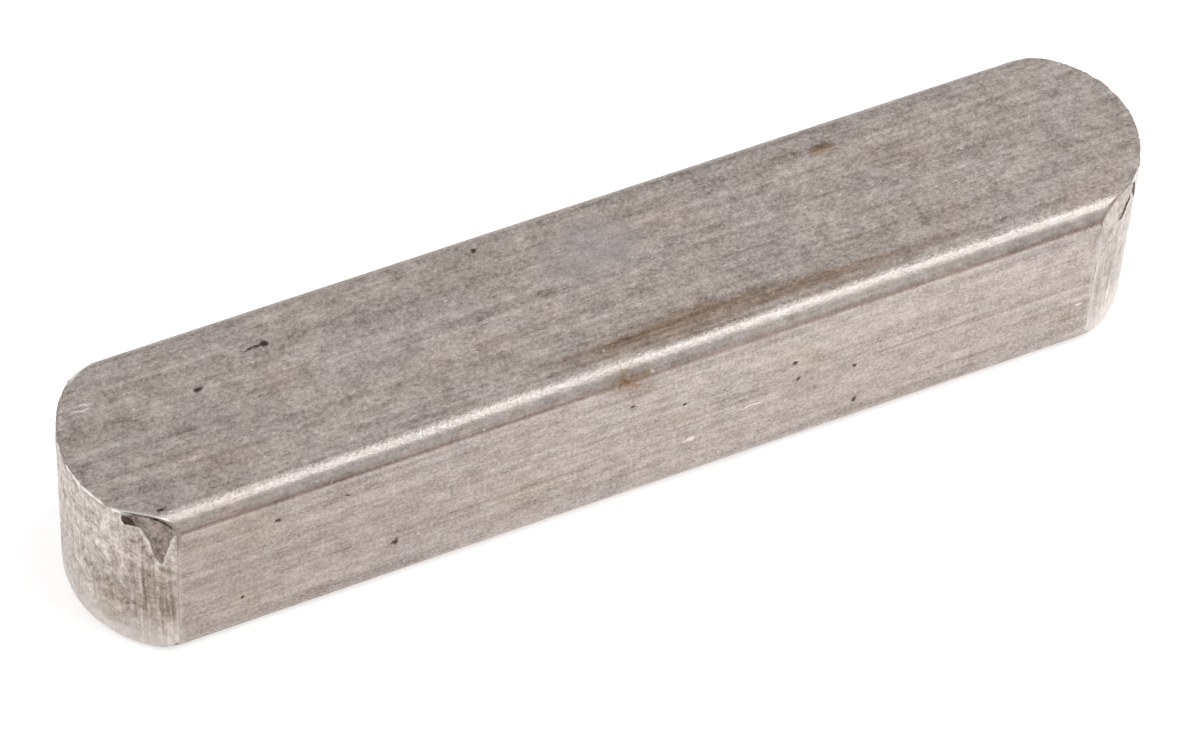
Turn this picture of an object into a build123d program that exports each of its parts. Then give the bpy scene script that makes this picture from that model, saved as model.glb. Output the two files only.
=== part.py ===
from build123d import *
import os

# Parallel key with round ends, sheared from drawn key steel. Millimetres.
# It lies along X, with its width along Y and its height along Z. The origin is
# the middle of the foot, the face that sits on the floor of the shaft's keyway.

# Drawn bar
key_length = 40.0
key_width = 8.0
key_height = 7.0
edge_radius = 0.6  # rolled long edges

# Sheared ends. Each end is one arc, a little flatter than a true half-round,
# so it meets the side faces at a slight corner.
left_end_flatness = 0.5  # what the end's radius has over half the width
right_end_flatness = 0.18
crown_rim_radius = 0.1  # burnished rim along the top of an end
foot_rim_radius = 0.3  # drawn-in rim along the foot of an end

# Torn corners. Where a rolled edge runs out on a sheared end, the steel broke
# away in a flat facet. Reach is across the end from the side face to where the
# break starts, drop is from the crown down to its tip, and bite is along the
# side face from the corner.
front_left_reach = 1.3
front_left_drop = 2.2
front_left_bite = 0.15

front_right_reach = 1.0
front_right_drop = 1.2
front_right_bite = 0.12

back_left_reach = 0.9
back_left_drop = 1.5
back_left_bite = 0.2

# The tip of a break lies this share of its reach from the side face.
tip_share = 0.25

half_length = key_length / 2
half_width = key_width / 2
LEFT, RIGHT = -1, 1  # ends, by the sign of X
FRONT, BACK = -1, 1  # sides, by the sign of Y
end_radii = {LEFT: half_width + left_end_flatness, RIGHT: half_width + right_end_flatness}


def end_centre(end):
    """The centre of an end's arc, on the line through the middle of the foot."""
    return Vector(end * (half_length - end_radii[end]), 0, 0)


def end_x(end, y):
    """Where the sheared end lies along X, at the place y across the key."""
    return end_centre(end).X + end * (end_radii[end] ** 2 - y**2) ** 0.5


def tear_plane(end, side, reach, drop, bite):
    """The plane of a torn corner, through three points on the key, facing out of it."""
    start_y = side * (half_width - reach)
    tip_y = side * (half_width - reach * tip_share)
    corner_x = end_x(end, half_width) - end * bite
    start = Vector(end_x(end, start_y), start_y, key_height)
    tip = Vector(end_x(end, tip_y), tip_y, key_height - drop)
    corner = Vector(corner_x, side * half_width, key_height - edge_radius)
    facing = (tip - start).cross(corner - start) * (end * side)
    return Plane(origin=start, x_dir=tip - start, z_dir=facing)


with BuildPart() as parallel_key:
    # The bar between the centres of the two end arcs
    with BuildSketch() as straight:
        left_centre, right_centre = end_centre(LEFT), end_centre(RIGHT)
        with Locations((left_centre + right_centre) / 2):
            Rectangle(right_centre.X - left_centre.X, key_width)
    extrude(amount=key_height)

    # The round ends, each turned about its own centre with both rims rounded
    for end in (LEFT, RIGHT):
        radius = end_radii[end]
        centre = end_centre(end)
        with BuildSketch(Plane(origin=centre, x_dir=(end, 0, 0), z_dir=(0, -end, 0))):
            Rectangle(radius, key_height, align=(Align.MIN, Align.MIN))
            crown_corner = vertices().group_by(Axis.Y)[-1].sort_by(Axis.X)[-1]
            fillet(crown_corner, radius=crown_rim_radius)
            foot_corner = vertices().group_by(Axis.Y)[0].sort_by(Axis.X)[-1]
            fillet(foot_corner, radius=foot_rim_radius)
        revolve(axis=Axis(centre, (0, 0, 1)))

    # The drawn bar's own section, which gives the side faces and rolled edges
    with BuildSketch(Plane.YZ) as bar_section:
        with Locations((0, key_height / 2)):
            RectangleRounded(key_width, key_height, edge_radius)
    extrude(amount=half_length, both=True, mode=Mode.INTERSECT)

    # Torn corners
    tears = [
        tear_plane(LEFT, FRONT, front_left_reach, front_left_drop, front_left_bite),
        tear_plane(RIGHT, FRONT, front_right_reach, front_right_drop, front_right_bite),
        tear_plane(LEFT, BACK, back_left_reach, back_left_drop, back_left_bite),
    ]
    for break_plane in tears:
        split(bisect_by=break_plane, keep=Keep.BOTTOM)

parallel_key.part.label = "parallel_key"

os.makedirs("parts", exist_ok=True)
export_step(parallel_key.part, "parts/parallel_key.step")
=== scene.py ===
import math

import bpy
import numpy as np
from mathutils import Matrix, Vector, noise


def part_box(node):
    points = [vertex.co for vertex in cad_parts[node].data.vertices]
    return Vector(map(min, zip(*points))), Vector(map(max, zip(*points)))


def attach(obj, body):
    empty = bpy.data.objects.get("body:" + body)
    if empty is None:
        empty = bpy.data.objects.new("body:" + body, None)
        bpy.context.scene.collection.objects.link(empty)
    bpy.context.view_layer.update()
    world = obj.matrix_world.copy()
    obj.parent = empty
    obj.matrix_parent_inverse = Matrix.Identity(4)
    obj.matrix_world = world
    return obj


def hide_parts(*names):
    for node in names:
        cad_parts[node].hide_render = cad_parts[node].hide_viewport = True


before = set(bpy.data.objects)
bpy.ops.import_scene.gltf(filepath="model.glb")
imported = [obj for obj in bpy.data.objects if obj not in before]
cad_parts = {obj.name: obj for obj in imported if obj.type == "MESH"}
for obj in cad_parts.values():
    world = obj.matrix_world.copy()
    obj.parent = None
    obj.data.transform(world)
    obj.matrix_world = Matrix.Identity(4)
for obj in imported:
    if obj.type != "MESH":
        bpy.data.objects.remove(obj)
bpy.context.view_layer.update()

# A parallel key, sheared from drawn key steel. One piece, so one mesh stands for
# it: the same body as the solid, with the breaks, burrs and shear marks of its
# ends raised and sunk in the surface. Sizes are in millimetres until the mesh
# is made.

MM = 0.001
low, high = (np.array(corner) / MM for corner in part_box("parallel_key"))

half_length = (high[0] - low[0]) / 2
half_width = (high[1] - low[1]) / 2
key_height = high[2]
edge_radius = 0.72  # the rolled edges' full round, blended into the faces
crown_rim_radius = 0.1
foot_rim_radius = 0.3
LEFT, RIGHT = -1, 1
FRONT, BACK = -1, 1

# Each end is a little flatter than a half-round.
end_radii = {LEFT: half_width + 0.5, RIGHT: half_width + 0.18}

# The shear pushed the crown along the key, so both ends lean by this much over the height.
left_lean = 0.12
right_lean = 0.27

# end, side, reach across the end, drop below the crown, bite into the side face
torn_corners = [
    (LEFT, FRONT, 1.3, 2.2, 0.15),
    (RIGHT, FRONT, 0.85, 0.95, 0.05),
    (LEFT, BACK, 0.9, 1.5, 0.2),
]
tip_share = 0.25  # the tip lies this share of the reach in from the side face

# Outlines on the end walls: place across the key, and height above the foot
front_left_break = [
    (-2.7, 6.98), (-2.95, 6.62), (-2.8, 6.5), (-3.25, 6.35), (-3.48, 5.7), (-3.6, 5.05),
    (-3.72, 4.75), (-3.82, 5.35), (-3.91, 5.95), (-3.97, 6.3), (-3.92, 6.7), (-3.7, 6.98),
]
front_left_pocket = [
    (-2.72, 6.9), (-2.78, 6.5), (-2.95, 6.4), (-3.2, 6.45), (-3.1, 6.75), (-2.95, 6.92),
]
front_right_cracks = [
    [(-3.2, 6.9), (-3.02, 6.85), (-2.88, 6.3), (-2.76, 5.85), (-2.9, 5.8), (-3.1, 6.3)],
    [(-3.28, 6.6), (-3.16, 6.35), (-3.48, 5.7), (-3.68, 5.75), (-3.5, 6.25)],
]
torn_hollow = [
    (-1.5, 2.9), (-2.1, 3.3), (-2.8, 3.0), (-2.95, 2.0), (-2.6, 0.9), (-2.0, 0.6), (-1.6, 1.4),
]

# How finely the mesh follows each stretch
roll_points = 19
crown_points = 86
wall_points = 78
bar_points = 66

# What the shear did to the end walls, in mm
wear_depth = 0.7  # the rims are worn up to this far in from the wall
mark_depth = 0.4  # breaks and pockets, and every mask, end this far in
wall_fade = (0.16, 0.02)  # the wall's own relief grows from the first depth to the second
outline_waver = 0.05
wall_waves, wall_grain = 0.016, 0.014
break_depth, break_grain, break_slope = 0.03, 0.035, 0.06
lip_height, lip_width, lip_top = 0.045, 0.05, 6.6
pocket_depth, pocket_slope = 0.05, 0.08
hollow_depth, hollow_slope = 0.09, 0.35
hollow_lip_height, hollow_lip_width, hollow_lip_out, hollow_lip_top = 0.03, 0.08, 0.06, 1.8
rib_height, rib_fade_round, rib_fade_up = 0.008, (2.6, 0.9), (6.3, 3.5)
# The painted highlight along the corner where the flank meets the end: its width and fades
corner_highlight_width, corner_highlight_fade_in, corner_highlight_fade_up = 0.14, (0.2, 0.05), (6.2, 5.2)
corner_ridge_height, corner_ridge_width, corner_ridge_in = 0.015, 0.08, 0.12
burr_height, burr_width = 0.035, 0.12


# ---------------------------------------------------------------- the body


def end_centre_x(end):
    """Where the centre of an end's arc lies along the key."""
    return end * (half_length - end_radii[end])


def end_x(end, y):
    """Where the end wall lies along the key, at the place y across it."""
    return end_centre_x(end) + end * np.sqrt(end_radii[end] ** 2 - np.square(y))


def crown_columns():
    """Places across the crown, and how far each lies below it on the rolled edges."""
    roll = np.linspace(0, math.pi / 2, roll_points)
    roll_y = edge_radius * (1 - np.cos(roll)) - half_width
    roll_drop = edge_radius * (1 - np.sin(roll))
    flat_y = np.linspace(roll_y[-1], -roll_y[-1], crown_points)[1:-1]
    y = np.concatenate([roll_y, flat_y, -roll_y[::-1]])
    drop = np.concatenate([roll_drop, 0 * flat_y, roll_drop[::-1]])
    return y, drop


def wall_rows():
    """Shares of the wall's height from the crown down, closer together at both rims."""
    rim = np.array([0, 0.004, 0.008, 0.0125, 0.018, 0.025, 0.034])
    middle = np.linspace(rim[-1], 1 - rim[-1], wall_points)[1:-1]
    return np.concatenate([rim, middle, 1 - rim[::-1]])


def places_along():
    """Shares of the length, closest together at the ends."""
    end_steps = [0, 0.03, 0.03, 0.04, 0.05] + [0.06] * 40  # mm
    near_end = np.cumsum(end_steps) / (2 * half_length)
    middle = np.linspace(near_end[-1], 1 - near_end[-1], bar_points)[1:-1]
    return np.concatenate([near_end, middle, 1 - near_end[::-1]])


def key_grid():
    """The sharp-rimmed body: its points, its faces, and how many faces the bar's wrap has.

    The wrap runs round the section and along the bar. A cap closes each end, and
    shares its border points with the wrap.
    """
    y, drop = crown_columns()
    rows = wall_rows()
    along = places_along()
    columns, levels = len(y), len(rows)
    side = np.arange(1, levels - 1)

    def wall_z(column, level):
        return key_height - drop[column] - rows[level] * (key_height - 2 * drop[column])

    loop_column = np.concatenate(
        [np.arange(columns), 0 * side + columns - 1, np.arange(columns)[::-1], 0 * side]
    )
    loop_level = np.concatenate(
        [0 * np.arange(columns), side, 0 * np.arange(columns) + levels - 1, side[::-1]]
    )
    round_bar = len(loop_column)
    loop_y = y[loop_column]
    loop_z = wall_z(loop_column, loop_level)
    left, right = end_x(LEFT, loop_y), end_x(RIGHT, loop_y)
    wrap_x = left + along[:, None] * (right - left)
    wrap = np.stack([wrap_x, 0 * wrap_x + loop_y, 0 * wrap_x + loop_z], axis=2)

    index = np.arange(len(along) * round_bar).reshape(len(along), round_bar)
    here, ahead = index, np.roll(index, -1, axis=1)
    faces = [np.stack([here[:-1], here[1:], ahead[1:], ahead[:-1]], axis=2).reshape(-1, 4)]
    points = [wrap.reshape(-1, 3)]
    count = index.size
    for end, border in ((LEFT, index[0]), (RIGHT, index[-1])):
        cap = np.full((levels, columns), -1)
        cap[loop_level, loop_column] = border
        inner_level, inner_column = np.mgrid[1 : levels - 1, 1 : columns - 1]
        inner_y = y[inner_column].ravel()
        inner_z = wall_z(inner_column, inner_level).ravel()
        points.append(np.stack([end_x(end, inner_y), inner_y, inner_z], axis=1))
        cap[1:-1, 1:-1] = count + np.arange(inner_y.size).reshape(inner_level.shape)
        count += inner_y.size
        quads = np.stack([cap[:-1, :-1], cap[:-1, 1:], cap[1:, 1:], cap[1:, :-1]], axis=2)
        quads = quads.reshape(-1, 4)
        faces.append(quads if end == RIGHT else quads[:, ::-1])
    return np.concatenate(points), np.concatenate(faces), len(faces[0])


def end_frame(points):
    """Where each point lies by its nearer end.

    Gives the end, the direction out of it, the depth inside its wall, and the place
    round the wall from the end's middle.
    """
    closest = 0.001  # keeps a point on the centre itself from dividing by nothing
    end = np.where(points[:, 0] < 0, LEFT, RIGHT)
    centre_x = np.where(end == LEFT, end_centre_x(LEFT), end_centre_x(RIGHT))
    radius = np.where(end == LEFT, end_radii[LEFT], end_radii[RIGHT])
    out = np.stack([points[:, 0] - centre_x, points[:, 1]], axis=1)
    reach = np.maximum(np.linalg.norm(out, axis=1), closest)
    beyond = end * (points[:, 0] - centre_x)
    inside = np.where(beyond > 0, radius - reach, half_length)
    round_end = radius * np.arctan2(points[:, 1], beyond)
    return end, out / reach[:, None], inside, round_end


def sheet_drop(y):
    """How far the rolled edges lie below the crown, at the place y across the key."""
    over = np.maximum(np.abs(y) - (half_width - edge_radius), 0)
    return edge_radius - np.sqrt(np.maximum(edge_radius**2 - over**2, 0))


def round_rim(points, rim_radius, up):
    """Rounds the rim of both ends, at the crown (up = 1) or at the foot (up = -1).

    The round narrows to nothing where the rolled edges run out on the end.
    """
    sharp = 0.01  # a rim with a smaller radius stays sharp
    least = 1e-6  # keeps what the turn is divided by above nothing
    _, out, inside, _ = end_frame(points)
    drop = sheet_drop(points[:, 1])
    radius = np.maximum(rim_radius * (1 - drop / edge_radius), least)
    level = points[:, 2] if up < 0 else key_height - points[:, 2]
    below = level - drop
    near = (inside < radius) & (below < radius) & (radius > sharp)
    turn = math.pi / 4 * (1 - (below - inside) / radius)
    inward = radius * (1 - np.cos(turn)) - inside
    down = radius * (1 - np.sin(turn)) - below
    moved = points.copy()
    moved[:, :2] -= out * inward[:, None]
    moved[:, 2] -= up * down
    return np.where(near[:, None], moved, points)


def tear_plane(end, side, reach, drop, bite):
    """A point on a torn corner's plane, and the plane's direction out of the key."""
    start_y = side * (half_width - reach)
    tip_y = side * (half_width - reach * tip_share)
    start = np.array([end_x(end, start_y), start_y, key_height])
    tip = np.array([end_x(end, tip_y), tip_y, key_height - drop])
    corner_x = end_x(end, half_width) - end * bite
    corner = np.array([corner_x, side * half_width, key_height - edge_radius])
    facing = np.cross(tip - start, corner - start) * end * side
    return start, facing / np.linalg.norm(facing)


def tear_corners(points):
    """Breaks the corners off, and gives how deep under the break each point had been."""
    depth = np.full(len(points), -1.0)
    for corner in torn_corners:
        start, facing = tear_plane(*corner)
        above = (points - start) @ facing
        points = points - np.maximum(above, 0)[:, None] * facing
        depth = np.maximum(depth, above)
    return points, depth


def step(start, finish, value):
    """Runs smoothly from 0 to 1 as a value goes from start to finish."""
    share = np.clip((value - start) / (finish - start), 0, 1)
    return share * share * (3 - 2 * share)


def rough(points, per_mm, seed):
    """Uneven noise, mostly between -1 and 1, with so many bumps a millimetre on each axis."""
    smoothness, finer, layers = 0.7, 2.1, 3  # each layer is this many times finer than the last
    places = points * per_mm + seed
    return np.array([noise.fractal(Vector(place), smoothness, finer, layers) for place in places])


def ridge(away, width):
    """A smooth ridge: 1 where away is nothing, and dying out over a width on both sides."""
    return np.exp(-((away / width) ** 2))


def inside_outline(round_end, height, end, outline):
    """How far inside an outline on an end wall each place lies, negative outside it."""
    far_off = 9.0  # mm, further than any place on an end lies from an outline
    radius = end_radii[end]
    corners = [(radius * math.asin(y / radius), z) for y, z in outline]
    nearest = np.full(len(round_end), far_off)
    within = np.zeros(len(round_end), dtype=bool)
    for (a0, z0), (a1, z1) in zip(corners, corners[1:] + corners[:1]):
        run, climb = a1 - a0, z1 - z0
        share = ((round_end - a0) * run + (height - z0) * climb) / (run**2 + climb**2)
        share = np.clip(share, 0, 1)
        away = np.hypot(round_end - a0 - share * run, height - z0 - share * climb)
        nearest = np.minimum(nearest, away)
        crosses = (z0 > height) != (z1 > height)
        within ^= crosses & (round_end < a0 + (height - z0) * run / (climb or 1))
    return np.where(within, nearest, -nearest)


def wear_ends(points):
    """How far the shear raised or tore each point, in mm, and the masks the finishes read."""
    end, _, inside, round_end = end_frame(points)
    height = points[:, 2]
    mask_names = ("broken", "pocket", "hollow", "burr_and_highlight", "ribbed", "corner")
    masks = {name: np.full(len(points), -1.0) for name in mask_names}
    relief = np.zeros(len(points))
    near = np.flatnonzero(inside < wear_depth)
    spot, left = points[near], end[near] == LEFT
    wall = step(*wall_fade, inside[near])

    # The outlines waver. The same noise in the other order serves up and down the wall.
    wobble = outline_waver * rough(spot, 2.5, 3.0)
    place, level = round_end[near] + wobble, height[near] + wobble[::-1]

    # Waves about 0.9 mm long, grain of 0.2 mm, and ribs 0.2 mm apart and 3 mm high
    coarse, fine = rough(spot, 1.1, 11.0), rough(spot, 4.5, 27.0)
    ribs = rough(spot, np.array([5.5, 5.5, 0.3]), 40.0)
    raised = wall * (wall_waves * coarse + wall_grain * fine)

    def outline_of(which_end, outline):
        found = inside_outline(place, level, which_end, outline)
        return np.where(left == (which_end == LEFT), found, -1.0)

    broken = outline_of(LEFT, front_left_break)
    pocket = outline_of(LEFT, front_left_pocket)
    for crack in front_right_cracks:
        pocket = np.maximum(pocket, outline_of(RIGHT, crack))
    hollow = outline_of(LEFT, torn_hollow)
    shown = inside[near] < mark_depth
    raised += shown * step(0, break_slope, broken) * (break_grain * fine - break_depth)
    raised += shown * lip_height * ridge(broken + lip_width, lip_width) * (level < lip_top)
    raised -= shown * pocket_depth * step(0, pocket_slope, pocket)
    raised -= hollow_depth * step(0, hollow_slope, hollow)
    hollow_lip = ridge(hollow + hollow_lip_out, hollow_lip_width) * (level < hollow_lip_top)
    raised += hollow_lip_height * hollow_lip

    # Light vertical ridges by the side faces, where the punch dragged the steel down
    radius = np.where(left, end_radii[LEFT], end_radii[RIGHT])
    from_corner = radius * np.arcsin(half_width / radius) - np.abs(round_end[near])
    ribbed = step(*rib_fade_round, from_corner) * wall * step(*rib_fade_up, level)
    raised += ribbed * rib_height * ribs
    # The mask of a painted highlight: a light line along the corner where the flank meets the end
    corner = ridge(from_corner, corner_highlight_width)
    corner = corner * step(*corner_highlight_fade_in, inside[near]) * step(*corner_highlight_fade_up, level)
    corner_ridge = ridge(from_corner - corner_ridge_in, corner_ridge_width)
    raised += corner_ridge_height * corner_ridge * wall * (broken < 0)

    # A thin burr stands on the crown's rim. Its mask also carries a painted highlight along the
    # rim.
    below_crown = key_height - height[near]
    burr_and_highlight = ridge(inside[near], burr_width) * ridge(below_crown, burr_width)
    burr_and_highlight = burr_and_highlight * step(-0.5, 0.6, coarse + 0.5 * fine)
    raised += burr_height * burr_and_highlight

    relief[near] = raised
    for name, values in zip(mask_names, (broken, pocket, hollow, burr_and_highlight, ribbed, corner)):
        masks[name][near] = np.where(shown, values, -1.0)
    return relief, masks


points, faces, wrap_faces = key_grid()
points = round_rim(points, crown_rim_radius, up=1)
points = round_rim(points, foot_rim_radius, up=-1)
points, tear_depth = tear_corners(points)

mesh = bpy.data.meshes.new("parallel_key_body")
mesh.from_pydata(points.tolist(), [], faces.tolist())
mesh.update()
facing = np.empty(points.size)
mesh.vertices.foreach_get("normal", facing)
facing = facing.reshape(-1, 3)
relief, masks = wear_ends(points)

# 0 on the crown, 1 on the front flank and -1 on the back flank
crown_turn = np.degrees(np.arctan2(-facing[:, 1], facing[:, 2]))
rolled_share = np.clip(crown_turn / 90, -1, 1)
points = points + facing * relief[:, None]
lean = np.interp(points[:, 0], (-half_length, half_length), (left_lean, right_lean))
points[:, 0] += lean * (points[:, 2] / key_height - 0.5)
mesh.vertices.foreach_set("co", (points * MM).ravel())
mesh.update()

key = bpy.data.objects.new("sheared_parallel_key", mesh)
bpy.context.scene.collection.objects.link(key)
mesh.polygons.foreach_set("use_smooth", [True] * len(mesh.polygons))
finish_of_face = [0] * wrap_faces + [1] * (len(faces) - wrap_faces)  # drawn, then sheared
mesh.polygons.foreach_set("material_index", finish_of_face)


def keep_values(name, values):
    """Stores a number for each point of the mesh, for the finishes to read."""
    stored = mesh.attributes.new(name, "FLOAT", "POINT")
    stored.data.foreach_set("value", np.asarray(values, dtype=np.float32))


keep_values("tear_depth", tear_depth)
keep_values("rolled_share", rolled_share)
for name, values in masks.items():
    keep_values(name, np.clip(values, -0.5, 1.0))


# ---------------------------------------------------------------- the finishes

# Marks on the faces: centre, then half sizes, in mm
crown, flank = key_height, -half_width
dark_pits = [
    ((-14.7, 1.1, crown), (0.2, 0.15, 0.3)),
    ((-11.9, 2.1, crown), (0.17, 0.13, 0.3)),
    ((-12.3, 2.07, crown), (0.5, 0.05, 0.3)),
    ((-3.7, 3.1, crown), (0.13, 0.13, 0.3)),
    ((-17.7, -3.23, crown), (0.16, 0.12, 0.3)),
    ((-9.7, flank, 2.1), (0.2, 0.3, 0.09)),
    ((-9.65, flank, 2.1), (0.07, 0.3, 0.2)),
    ((-13.9, flank, 5.4), (0.13, 0.3, 0.1)),
    ((-11.3, flank, 5.5), (0.12, 0.3, 0.08)),
    ((-15.3, flank, 1.9), (0.1, 0.3, 0.08)),
    ((5.35, flank, 4.4), (0.13, 0.3, 0.1)),
    ((7.7, flank, 3.2), (0.12, 0.3, 0.1)),
    ((5.5, flank, 3.5), (0.12, 0.3, 0.08)),
    ((1.2, flank, 4.2), (0.1, 0.3, 0.08)),
    ((-0.8, flank, 5.0), (0.12, 0.3, 0.08)),
    ((7.8, flank, 1.35), (0.12, 0.3, 0.1)),
]
brown_stains = [
    ((1.5, -2.8, crown), (5.5, 0.65, 0.4)),
    ((2.0, -2.6, crown), (2.2, 0.5, 0.4)),
    ((6.0, -2.9, crown), (5.5, 0.45, 0.4)),
    ((9.4, 2.5, crown), (0.6, 0.35, 0.3)),
]
rust_stains = [
    ((-1.0, flank, crown - 0.5), (1.0, 0.7, 0.6)),
    ((-0.6, flank, crown - 1.1), (0.7, 0.5, 0.6)),
]
smooth_patches = [((0.0, 1.5, crown), (2.1, 1.5, 0.4))]
bright_scratches = [
    ((1.4, flank, 2.2), (0.25, 0.3, 0.1)),
    ((3.8, flank, 2.9), (0.5, 0.3, 0.04)),
    ((16.5, flank, 2.3), (0.14, 0.3, 0.1)),
    ((-18.65, 1.82, crown), (0.4, 0.07, 0.3)),
    ((-18.4, 2.0, crown), (0.3, 0.05, 0.3)),
]


def colour(code):
    """An sRGB hex value as linear red, green, blue and alpha."""
    shares = [int(code[i : i + 2], 16) / 255 for i in (1, 3, 5)]
    linear = [s / 12.92 if s <= 0.04045 else ((s + 0.055) / 1.055) ** 2.4 for s in shares]
    return (*linear, 1.0)


def put(tree, kind, inputs=None, out=0, **settings):
    """Adds a node with its settings, fills its inputs by name or number, and gives one output.

    MapRange takes the value as 0, its range as 1 and 2, and what it gives there as 3
    and 4. Mix takes the share as 0 and the two colours as 6 and 7.
    """
    made = tree.nodes.new("ShaderNode" + kind)
    for name, value in settings.items():
        setattr(made, name, value)
    for key_name, value in (inputs or {}).items():
        if isinstance(value, bpy.types.NodeSocket):
            tree.links.new(value, made.inputs[key_name])
        else:
            made.inputs[key_name].default_value = value
    return made.outputs[out] if made.outputs else None


def new_finish(name):
    """An empty material and its tree."""
    finish = bpy.data.materials.new(name)
    finish.use_nodes = True
    finish.node_tree.nodes.clear()
    return finish, finish.node_tree


def speckle(tree, place, per_mm, detail=3, roughness=0.6):
    """Noise with so many bumps a millimetre on each axis."""
    spread = put(tree, "VectorMath", {0: place, 1: per_mm}, operation="MULTIPLY")
    settings = {"Vector": spread, "Scale": 1, "Detail": detail, "Roughness": roughness}
    return put(tree, "TexNoise", settings, out="Fac")


def add_up(tree, parts):
    """The sum of several values, each with its own weight."""
    total = 0.0
    for value, weight in parts:
        total = put(tree, "Math", {0: value, 1: weight, 2: total}, operation="MULTIPLY_ADD")
    return total


def marked(tree, place, marks):
    """1 inside any of the marks and 0 outside them, with a soft and uneven edge."""
    full, gone = 0.5, 1.15  # shares of a mark's half sizes
    waver = 0.35  # mm from the furthest in to the furthest out, in waves of about 0.3 mm
    uneven = put(tree, "TexNoise", {"Vector": place, "Scale": 3.5, "Detail": 3}, out="Color")
    uneven = put(tree, "VectorMath", {0: uneven, 1: (0.5, 0.5, 0.5)}, operation="SUBTRACT")
    uneven = put(tree, "VectorMath", {0: uneven, "Scale": waver}, operation="SCALE")
    place = put(tree, "VectorMath", {0: place, 1: uneven}, operation="ADD")
    total = 0.0
    for centre, half_sizes in marks:
        from_centre = put(tree, "VectorMath", {0: place, 1: centre}, operation="SUBTRACT")
        scaled = put(tree, "VectorMath", {0: from_centre, 1: half_sizes}, operation="DIVIDE")
        away = put(tree, "VectorMath", {0: scaled}, out="Value", operation="LENGTH")
        inside = put(tree, "MapRange", {0: away, 1: full, 2: gone, 3: 1.0, 4: 0.0})
        total = put(tree, "Math", {0: total, 1: inside}, operation="MAXIMUM")
    return total


def overlaid(tree, below, layers):
    """A colour with others laid over it in turn: the share of each, the colour, and its blend."""
    for share, above, blend in layers:
        colours = {0: share, 6: below, 7: above}
        below = put(tree, "Mix", colours, out=2, data_type="RGBA", blend_type=blend)
    return below


def millimetres(tree):
    """The place on the key in millimetres."""
    place = put(tree, "TexCoord", out="Object")
    return put(tree, "VectorMath", {0: place, "Scale": 1 / MM}, operation="SCALE")


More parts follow.
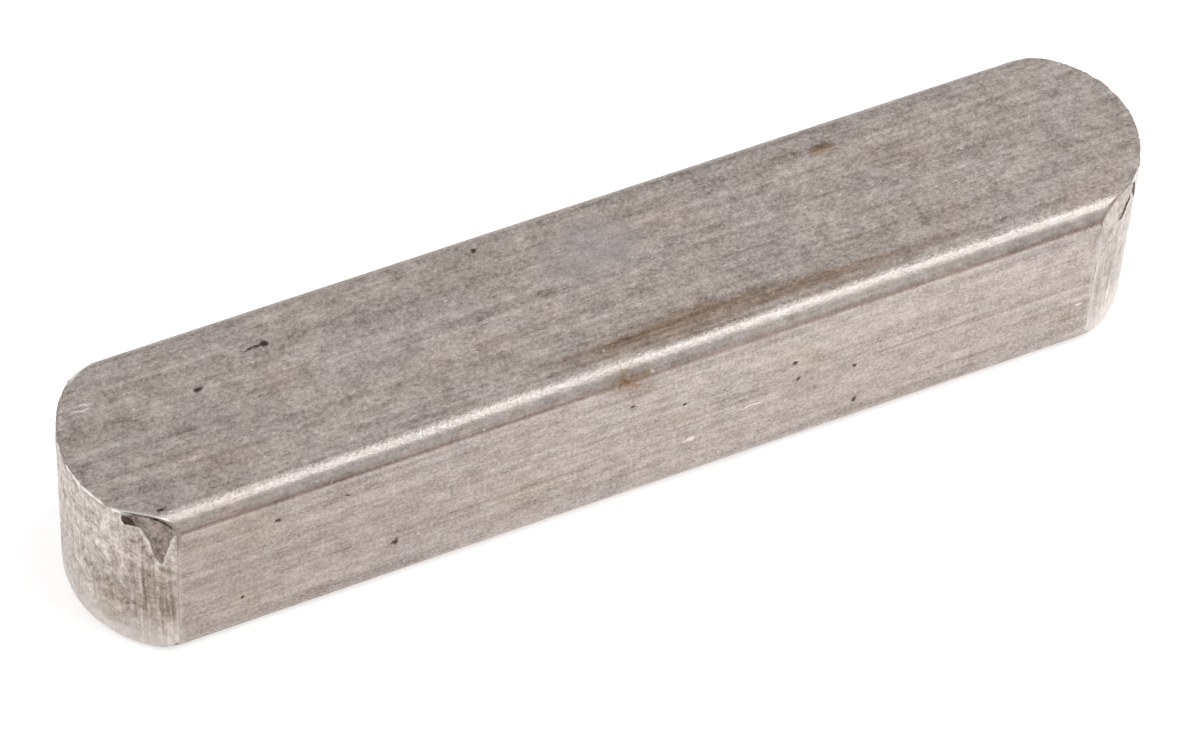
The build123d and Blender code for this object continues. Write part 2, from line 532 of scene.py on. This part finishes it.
def drawn_key_steel():
    """Cold drawn key steel, bare: dull warm grey, streaked along the draw and finely mottled."""
    finish, tree = new_finish("drawn_key_steel")
    place = millimetres(tree)
    along_bar = put(tree, "SeparateXYZ", {0: place}, out="X")
    on_left = put(tree, "MapRange", {0: along_bar, 1: 1.0, 2: -1.0})

    # Real draw lines and grain are too fine to show. The lines are drawn about 0.2 mm apart
    # and 7 mm long, in bands of 0.4 mm. The mottle is 0.6 mm from bump to bump, the grain
    # 0.1 mm, the blotches 2 to 3 mm, and the bright nicks are 0.1 to 0.2 mm across.
    draw_lines = speckle(tree, place, (0.14, 6, 6), 3)
    draw_bands = speckle(tree, place, (0.07, 2.6, 2.6), 5)
    mottle = speckle(tree, place, (1.4, 1.8, 1.8), 6, 0.76)
    grain = speckle(tree, place, (8, 8.5, 8.5), 3, 0.75)
    blotch = speckle(tree, place, (0.3, 0.45, 0.45), 4)
    nicks = speckle(tree, place, (4.5, 7, 7), 1)
    weights = [(draw_lines, 0.24), (draw_bands, 0.28), (mottle, 0.5), (grain, 0.6)]
    light = put(tree, "MapRange", {0: add_up(tree, weights), 1: 0.56, 2: 1.05})
    nicked = put(tree, "MapRange", {0: nicks, 1: 0.7, 2: 0.78, 3: 0.0, 4: 0.5})

    # The skin is warm brown in some blotches and violet grey in others.
    warm = put(tree, "MapRange", {0: blotch, 1: 0.5, 2: 0.72, 3: 0.0, 4: 0.35})
    cool = put(tree, "MapRange", {0: blotch, 1: 0.5, 2: 0.28, 3: 0.0, 4: 0.35})

    # The brown stains follow the draw, and the rust follows the mottle.
    streaked = put(tree, "MapRange", {0: draw_bands, 1: 0.36, 2: 0.62, 3: 0.9, 4: 0.15})
    stained = marked(tree, place, brown_stains)
    stained = put(tree, "Math", {0: stained, 1: streaked}, operation="MULTIPLY")
    rust_mottle = put(tree, "MapRange", {0: mottle, 1: 0.44, 2: 0.6, 3: 0.1, 4: 1.0})
    rusted = marked(tree, place, rust_stains)
    rusted = put(tree, "Math", {0: rusted, 1: rust_mottle}, operation="MULTIPLY")
    worn = marked(tree, place, smooth_patches)
    worn = put(tree, "Math", {0: worn, 1: 0.45}, operation="MULTIPLY")
    scratched = marked(tree, place, bright_scratches)
    scratched = put(tree, "Math", {0: scratched, 1: 0.6}, operation="MULTIPLY")
    pitted = marked(tree, place, dark_pits)

    # The front rolled edge is painted lighter, a painted highlight. A grainy dark line of painted
    # shade follows where it meets the flank.
    rolled = put(tree, "Attribute", out="Fac", attribute_name="rolled_share")
    turned = put(tree, "Math", {0: grain, 1: 0.16, 2: rolled}, operation="MULTIPLY_ADD")
    painted_edge_highlight = put(tree, "MapRange", {0: turned, 1: 0.12, 2: 0.3, 3: 0.0, 4: 0.3})
    painted_edge_highlight_ends = put(tree, "MapRange", {0: turned, 1: 0.5, 2: 0.75, 3: 1.0, 4: 0.0})
    painted_edge_highlight = put(tree, "Math", {0: painted_edge_highlight, 1: painted_edge_highlight_ends}, operation="MULTIPLY")
    painted_shade_line = put(tree, "MapRange", {0: turned, 1: 0.72, 2: 0.94})
    painted_shade_line_ends = put(tree, "MapRange", {0: rolled, 1: 0.88, 2: 1.0, 3: 1.0, 4: 0.0})
    painted_shade_line = put(tree, "Math", {0: painted_shade_line, 1: painted_shade_line_ends}, operation="MULTIPLY")

    # A light line, a painted highlight, stands where the flank meets the end. The left of the
    # flanks is painted darker, painted shade.
    corner = put(tree, "Attribute", out="Fac", attribute_name="corner")
    corner = put(tree, "MapRange", {0: corner, 1: 0.2, 2: 0.9, 3: 0.0, 4: 0.2})
    painted_shade_left = put(tree, "MapRange", {0: along_bar, 1: -20.0, 2: -4.0, 3: 1.0, 4: 0.0})
    on_flank = put(tree, "MapRange", {0: turned, 1: 0.8, 2: 1.0})
    painted_shade_left = put(tree, "Math", {0: painted_shade_left, 1: on_flank}, operation="MULTIPLY")

    # A painted highlight runs as a bright line along the crown where the left corners tore away.
    # The break is dull.
    tear = put(tree, "Attribute", out="Fac", attribute_name="tear_depth")
    painted_tear_highlight = put(tree, "MapRange", {0: tear, 1: -0.1, 2: -0.03, 3: 0.0, 4: 0.8})
    on_crown = put(tree, "MapRange", {0: turned, 1: 0.3, 2: 0.5, 3: 1.0, 4: 0.0})
    painted_tear_highlight = put(tree, "Math", {0: painted_tear_highlight, 1: on_crown}, operation="MULTIPLY")
    painted_tear_highlight = put(tree, "Math", {0: painted_tear_highlight, 1: on_left}, operation="MULTIPLY")
    torn = put(tree, "MapRange", {0: tear, 1: -0.02, 2: 0.01})
    torn = put(tree, "Math", {0: torn, 1: on_left}, operation="MULTIPLY")

    layers = [
        (light, colour("#DAD0CA"), "MIX"),
        (warm, colour("#F0E2D2"), "MULTIPLY"),
        (cool, colour("#E0DDE6"), "MULTIPLY"),
        (stained, colour("#C3A98C"), "MULTIPLY"),
        (worn, colour("#AAA5A6"), "MIX"),
        (scratched, colour("#EFE9E4"), "MIX"),
        (pitted, colour("#4A3F38"), "MIX"),
        (painted_edge_highlight, colour("#DCD6D2"), "MIX"),
        (painted_shade_line, colour("#CBC0BA"), "MULTIPLY"),
        (rusted, colour("#C7AC8C"), "MULTIPLY"),
        (nicked, colour("#F0EAE5"), "MIX"),
        (corner, colour("#EDE6E1"), "MIX"),
        (painted_shade_left, colour("#EBE8E6"), "MULTIPLY"),
        (painted_tear_highlight, colour("#EFE9E4"), "MIX"),
        (torn, colour("#8F8279"), "MIX"),
    ]
    steel = overlaid(tree, colour("#6A5D55"), layers)

    # Drawing left the rolled edges pitted like orange peel, as coarse as the mottle.
    peel = put(tree, "Math", {0: mottle, 1: painted_edge_highlight}, operation="MULTIPLY")
    height = add_up(tree, [(draw_lines, 0.3), (grain, 0.7), (mottle, 0.8), (peel, 7.0)])
    bumped = put(tree, "Bump", {"Height": height, "Strength": 0.6, "Distance": 0.035 * MM})
    roughness = put(tree, "MapRange", {0: mottle, 1: 0.3, 2: 0.7, 3: 0.42, 4: 0.52})
    shine = put(
        tree,
        "BsdfPrincipled",
        {"Base Color": steel, "Metallic": 1.0, "Roughness": roughness, "Normal": bumped},
    )
    put(tree, "OutputMaterial", {"Surface": shine})
    return finish


def sheared_key_steel():
    """The same steel where the punch sheared it: cleaner and lighter, torn and finely ribbed."""
    finish, tree = new_finish("sheared_key_steel")
    place = millimetres(tree)
    along_bar = put(tree, "SeparateXYZ", {0: place}, out="X")
    above_foot = put(tree, "SeparateXYZ", {0: place}, out="Z")
    on_left = put(tree, "MapRange", {0: along_bar, 1: 1.0, 2: -1.0})

    # Shear lines are drawn 0.15 mm apart and 3 mm long, as coarse as they need to be to show.
    # The torn grain is 0.3 to 0.4 mm, the fine grain 0.1 mm and the patches 1 to 2 mm across.
    shear_lines = speckle(tree, place, (7, 7, 0.3), 2)
    torn_grain = speckle(tree, place, (3, 3, 2.4), 6, 0.75)
    fine_grain = speckle(tree, place, (9, 9, 7), 2)
    patches = speckle(tree, place, (0.8, 0.8, 0.6), 3)
    weights = [(shear_lines, 0.2), (torn_grain, 0.9), (fine_grain, 0.35), (patches, 0.25)]
    light = put(tree, "MapRange", {0: add_up(tree, weights), 1: 0.65, 2: 1.03})

    uneven = put(tree, "Math", {0: torn_grain, 1: 0.36, 2: -0.18}, operation="MULTIPLY_ADD")

    def mask(name, soft):
        """A stored outline with an edge that wavers with the torn grain."""
        stored = put(tree, "Attribute", out="Fac", attribute_name=name)
        stored = put(tree, "Math", {0: stored, 1: uneven}, operation="ADD")
        return put(tree, "MapRange", {0: stored, 1: 0.0, 2: soft})

    # Fine dark lines run down beside the flanks. The right end is smeared smoother, and both
    # ends are painted lighter by the foot, as painted light.
    ribbed = put(tree, "Attribute", out="Fac", attribute_name="ribbed")
    ribbed_left = put(tree, "Math", {0: ribbed, 1: on_left}, operation="MULTIPLY")
    line_share = put(tree, "Math", {0: ribbed, 1: 0.6}, operation="MULTIPLY")
    lines = put(tree, "MapRange", {0: shear_lines, 1: 0.38, 2: 0.62})
    line_shade = overlaid(tree, colour("#A79B93"), [(lines, colour("#FFFFFF"), "MIX")])
    smeared = put(tree, "MapRange", {0: along_bar, 1: -1.0, 2: 1.0, 3: 0.0, 4: 0.3})
    painted_light_low = put(tree, "MapRange", {0: above_foot, 1: 2.2, 2: 0.3, 3: 0.0, 4: 0.6})
    # A light line, a painted highlight, stands where the flank meets the end.
    corner = put(tree, "Attribute", out="Fac", attribute_name="corner")
    corner = put(tree, "MapRange", {0: corner, 1: 0.2, 2: 0.9, 3: 0.0, 4: 0.22})

    # The hollow is a little darker inside, with a thin dark outline.
    hollow = mask("hollow", 0.12)
    hollow_edge = put(tree, "MapRange", {0: hollow, 1: 0.0, 2: 0.5, 3: 0.0, 4: 1.0})
    hollow_core = put(tree, "MapRange", {0: hollow, 1: 0.5, 2: 1.0, 3: 0.35, 4: 0.0})
    hollow_edge = put(tree, "Math", {0: hollow_edge, 1: hollow_core}, operation="MULTIPLY")

    # The break is dark and grainy, with a bright lip outside it and a dark line inside.
    lip = put(tree, "Attribute", out="Fac", attribute_name="broken")
    lip = put(tree, "Math", {0: lip, 1: 0.06}, operation="ADD")
    lip = put(tree, "Math", {0: lip}, operation="ABSOLUTE")
    lip = put(tree, "MapRange", {0: lip, 1: 0.02, 2: 0.08, 3: 0.6, 4: 0.0})
    lip = put(tree, "Math", {0: lip, 1: torn_grain}, operation="MULTIPLY")
    broken = mask("broken", 0.09)
    broken_grain = put(tree, "MapRange", {0: torn_grain, 1: 0.35, 2: 0.65})
    broken_layers = [(broken_grain, colour("#B7AAA1"), "MIX")]
    broken_shade = overlaid(tree, colour("#564A43"), broken_layers)
    edge = put(tree, "MapRange", {0: broken, 1: 0.1, 2: 0.5})
    edge_end = put(tree, "MapRange", {0: broken, 1: 0.5, 2: 0.95, 3: 0.8, 4: 0.0})
    edge = put(tree, "Math", {0: edge, 1: edge_end}, operation="MULTIPLY")
    pocket = mask("pocket", 0.06)

    # The burr is painted near white: a painted highlight along the crown's rim.
    burr_and_highlight = put(tree, "Attribute", out="Fac", attribute_name="burr_and_highlight")
    burr_and_highlight = put(tree, "MapRange", {0: burr_and_highlight, 1: 0.12, 2: 0.5, 3: 0.0, 4: 0.95})

    layers = [
        (light, colour("#E3DBD5"), "MIX"),
        (ribbed_left, colour("#DFD8D3"), "MULTIPLY"),
        (line_share, line_shade, "MULTIPLY"),
        (smeared, colour("#CDC5BF"), "MIX"),
        (painted_light_low, colour("#E9E2DD"), "MIX"),
        (hollow, colour("#EFEBE5"), "MULTIPLY"),
        (hollow_edge, colour("#7C7068"), "MIX"),
        (corner, colour("#EDE6E1"), "MIX"),
        (lip, colour("#EFE9E4"), "MIX"),
        (broken, broken_shade, "MIX"),
        (edge, colour("#4F443D"), "MIX"),
        (pocket, colour("#4C3E33"), "MIX"),
        (burr_and_highlight, colour("#FAF6F2"), "MIX"),
    ]
    steel = overlaid(tree, colour("#7D6D63"), layers)

    height = add_up(tree, [(shear_lines, 0.35), (torn_grain, 1.1), (fine_grain, 0.3)])
    bumped = put(tree, "Bump", {"Height": height, "Strength": 0.75, "Distance": 0.06 * MM})
    roughness = put(tree, "MapRange", {0: broken, 3: 0.47, 4: 0.62})
    shine = put(
        tree,
        "BsdfPrincipled",
        {"Base Color": steel, "Metallic": 1.0, "Roughness": roughness, "Normal": bumped},
    )
    put(tree, "OutputMaterial", {"Surface": shine})
    return finish


mesh.materials.append(drawn_key_steel())
mesh.materials.append(sheared_key_steel())
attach(key, "root")
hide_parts("parallel_key")


# ---------------------------------------------------------------- the studio


def pale_floor():
    """A matt white table that the camera and the steel both see as white."""
    paint_shade = 0.8
    added_glow = 0.53  # for the rays of the camera and of what the steel mirrors
    half = 3.0  # metres
    finish, tree = new_finish("matt_white_table")
    paint = put(tree, "BsdfDiffuse", {"Color": (paint_shade, paint_shade, paint_shade, 1)})
    path = tree.nodes.new("ShaderNodeLightPath").outputs
    seen = 0.0
    for ray in ("Is Camera Ray", "Is Glossy Ray", "Is Transmission Ray"):
        seen = put(tree, "Math", {0: path[ray], 1: seen}, operation="MAXIMUM")
    lift = put(tree, "Math", {0: seen, 1: added_glow}, operation="MULTIPLY")
    glow = put(tree, "Emission", {"Color": (1, 1, 1, 1), "Strength": lift})
    put(tree, "OutputMaterial", {"Surface": put(tree, "AddShader", {0: paint, 1: glow})})
    corners = [(-half, -half, 0), (half, -half, 0), (half, half, 0), (-half, half, 0)]
    sheet = bpy.data.meshes.new("table")
    sheet.from_pydata(corners, [], [(0, 1, 2, 3)])
    sheet.materials.append(finish)
    table = bpy.data.objects.new("table", sheet)
    bpy.context.scene.collection.objects.link(table)


def softbox(name, toward, distance, size, power):
    """A round soft light that shines on the key from a direction, size and distance in metres."""
    lamp = bpy.data.lights.new(name, "AREA")
    lamp.shape = "DISK"
    lamp.size = size
    lamp.energy = power
    hung = bpy.data.objects.new(name, lamp)
    away = Vector(toward).normalized()
    hung.location = away * distance
    hung.rotation_euler = away.to_track_quat("Z", "Y").to_euler()
    bpy.context.scene.collection.objects.link(hung)


def studio():
    """Plain soft light: a pale room, dimmer low in front, and one round softbox overhead."""
    dim, full = 0.45, 0.69
    world = bpy.data.worlds.new("pale_room")
    world.use_nodes = True
    tree = world.node_tree
    tree.nodes.clear()
    toward = put(tree, "TexCoord", out="Generated")
    lit = put(tree, "VectorMath", {0: toward, 1: (0, 0.6, 1)}, out="Value", operation="DOT_PRODUCT")
    strength = put(tree, "MapRange", {0: lit, 1: -0.5, 2: 0.5, 3: dim, 4: full})
    room = put(tree, "Background", {"Color": (1, 1, 1, 1), "Strength": strength})
    put(tree, "OutputWorld", {"Surface": room})
    bpy.context.scene.world = world
    softbox("overhead_softbox", toward=(0.46, -0.18, 0.87), distance=0.6, size=0.42, power=2.2)


def camera():
    """Looks down on the key's front left, from about 0.2 m."""
    turn, tilt, roll = (math.radians(a) for a in (-25.47, 50.29, 1.51))
    distance = 210.4  # mm
    aim_off_middle = (-0.42, -0.48, -0.51)  # mm from the key's middle
    focal_length, sensor_width = 181.6, 36  # mm
    nearest_seen = 0.001  # metres
    level_share = math.cos(tilt)
    back = Vector((math.sin(turn) * level_share, -math.cos(turn) * level_share, math.sin(tilt)))
    level = Vector((0, 0, 1)).cross(back).normalized()
    rise = back.cross(level)
    right = level * math.cos(roll) + rise * math.sin(roll)
    up = rise * math.cos(roll) - level * math.sin(roll)
    aim = (Vector((0, 0, key_height / 2)) + Vector(aim_off_middle)) * MM
    lens = bpy.data.cameras.new("camera")
    lens.lens = focal_length
    lens.sensor_width = sensor_width
    lens.clip_start = nearest_seen
    stood = bpy.data.objects.new("camera", lens)
    turned = Matrix((right, up, back)).transposed().to_4x4()
    stood.matrix_world = Matrix.Translation(aim + back * distance * MM) @ turned
    bpy.context.scene.collection.objects.link(stood)
    bpy.context.scene.camera = stood


pale_floor()
studio()
camera()
bpy.context.scene.view_settings.view_transform = "Standard"
